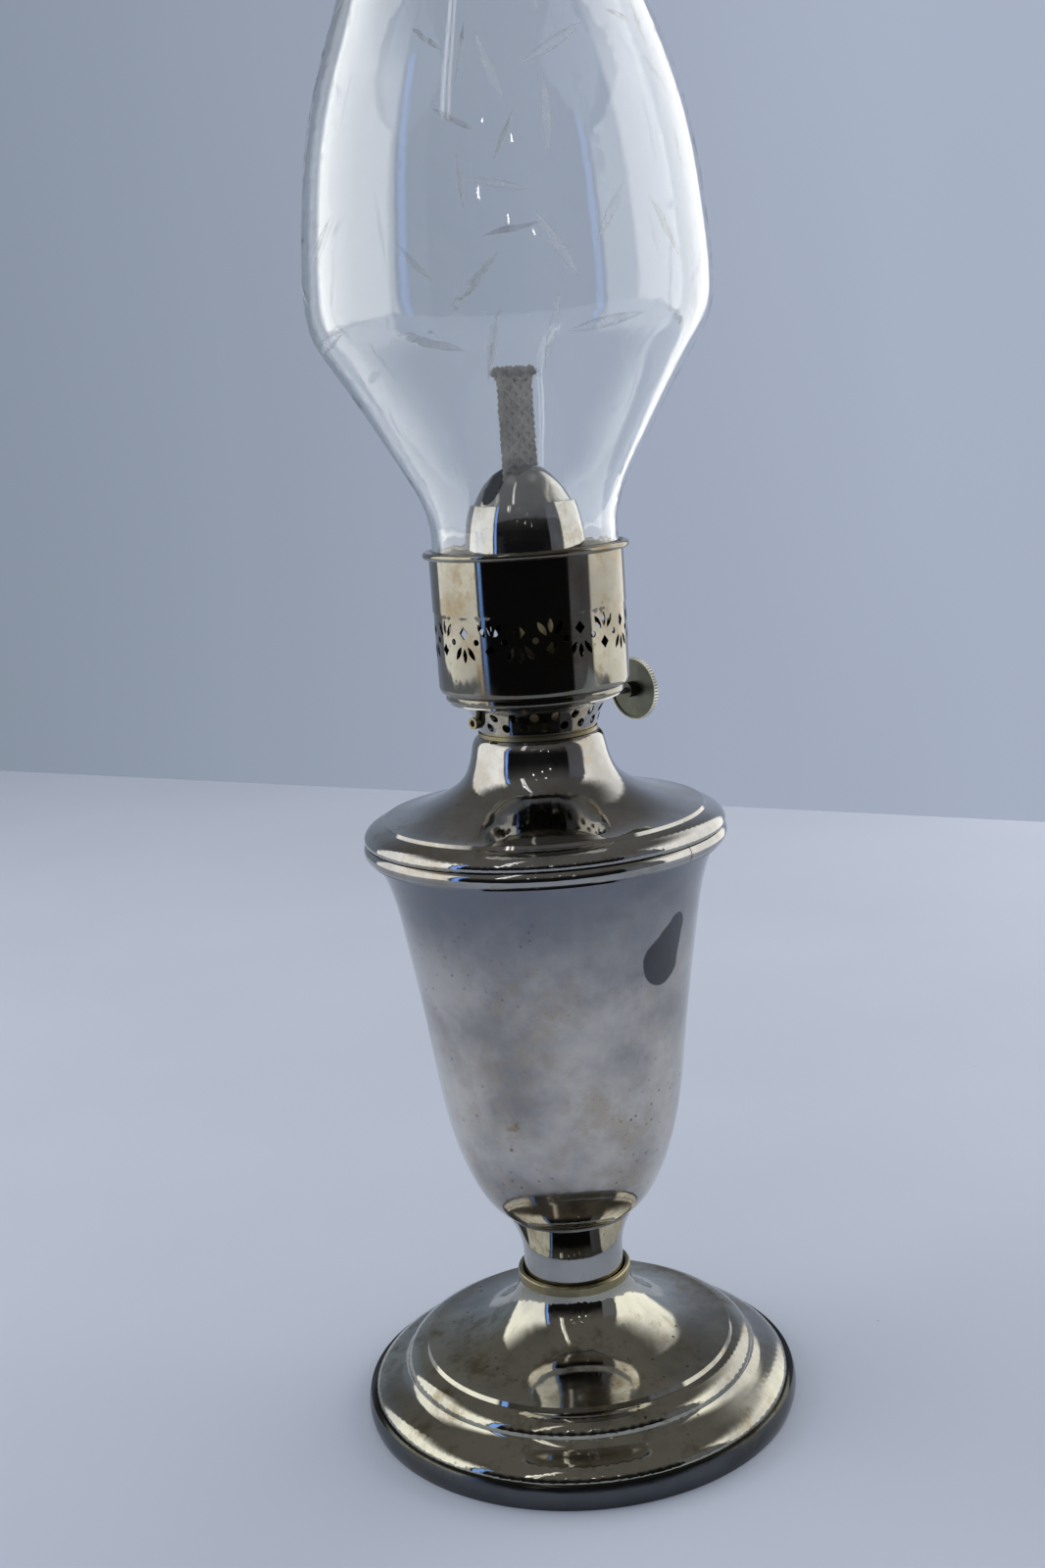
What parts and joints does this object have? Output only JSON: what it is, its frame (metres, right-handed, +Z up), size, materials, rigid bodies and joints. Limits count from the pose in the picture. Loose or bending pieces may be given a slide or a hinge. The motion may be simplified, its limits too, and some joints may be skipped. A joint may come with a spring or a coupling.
{
  "type": "table oil lamp",
  "caption": "Silver-plated kerosene table lamp with a stepped foot, urn font, flat-wick burner in a pierced gallery and a tall bulbous glass chimney.",
  "frame": {"origin": "centre of the foot's resting face", "axes": "+Z up the lamp's axis, +X along the wick spindle towards the thumb wheel"},
  "size_m": [0.155, 0.155, 0.5408],
  "materials": {
    "foot_plate": "tarnished silver plate with yellow-brown patina",
    "urn_plate": "satin silver plate, grey mottling",
    "burner_plate": "worn silver plate, brass showing through",
    "bare_brass": "dull tarnished brass",
    "steel": "dull steel",
    "wick_cotton": "woven cotton",
    "clear_glass": "clear blown glass, wheel-cut sprays"
  },
  "bodies": {
    "base": {"foot_shell": "foot_plate", "foot_rim_band": "foot_plate", "foot_collar_ring": "foot_plate", "stem_spool": "foot_plate", "stem_plug": "bare_brass", "tie_washer": "steel", "tie_nut": "steel", "urn_shell": "urn_plate", "rim_wire": "urn_plate", "shoulder_cover": "urn_plate", "font_collar": "bare_brass"},
    "burner": {"burner_thread_ring": "bare_brass", "burner_floor": "bare_brass", "burner_basket": "burner_plate", "gallery_cup": "burner_plate", "air_plate": "burner_plate", "dome": "burner_plate", "wick_tube": "bare_brass", "spindle_bracket": "bare_brass", "spindle_bush_wheel_side": "bare_brass", "spindle_bush_far_side": "bare_brass"},
    "wick_raiser": {"wick_spindle": "steel", "wick_sprocket_1": "steel", "wick_sprocket_2": "steel", "wick_sprocket_3": "steel", "wick_sprocket_4": "steel", "thumb_wheel": "bare_brass"},
    "wick": {"wick": "wick_cotton"},
    "chimney": {"chimney": "clear_glass"}
  },
  "joints": [
    {"name": "burner_lift", "type": "slide", "parent": "base", "child": "burner", "axis": [0, 0, 1], "range_m": [0, 0.13]},
    {"name": "thumb_wheel_turn", "type": "hinge", "parent": "burner", "child": "wick_raiser", "pos_m": [0, 0.006, 0.2505], "axis": [-1, 0, 0], "range_deg": [-473, 124]},
    {"name": "wick_raise", "type": "slide", "parent": "burner", "child": "wick", "axis": [0, 0, 1], "range_m": [-0.038, 0.01]},
    {"name": "chimney_lift", "type": "slide", "parent": "burner", "child": "chimney", "axis": [0, 0, 1], "range_m": [0, 0.1]}
  ],
  "couplings": [
    {"joint": "wick_raise", "follows": "thumb_wheel_turn", "m_per_rad": 0.0046}
  ]
}
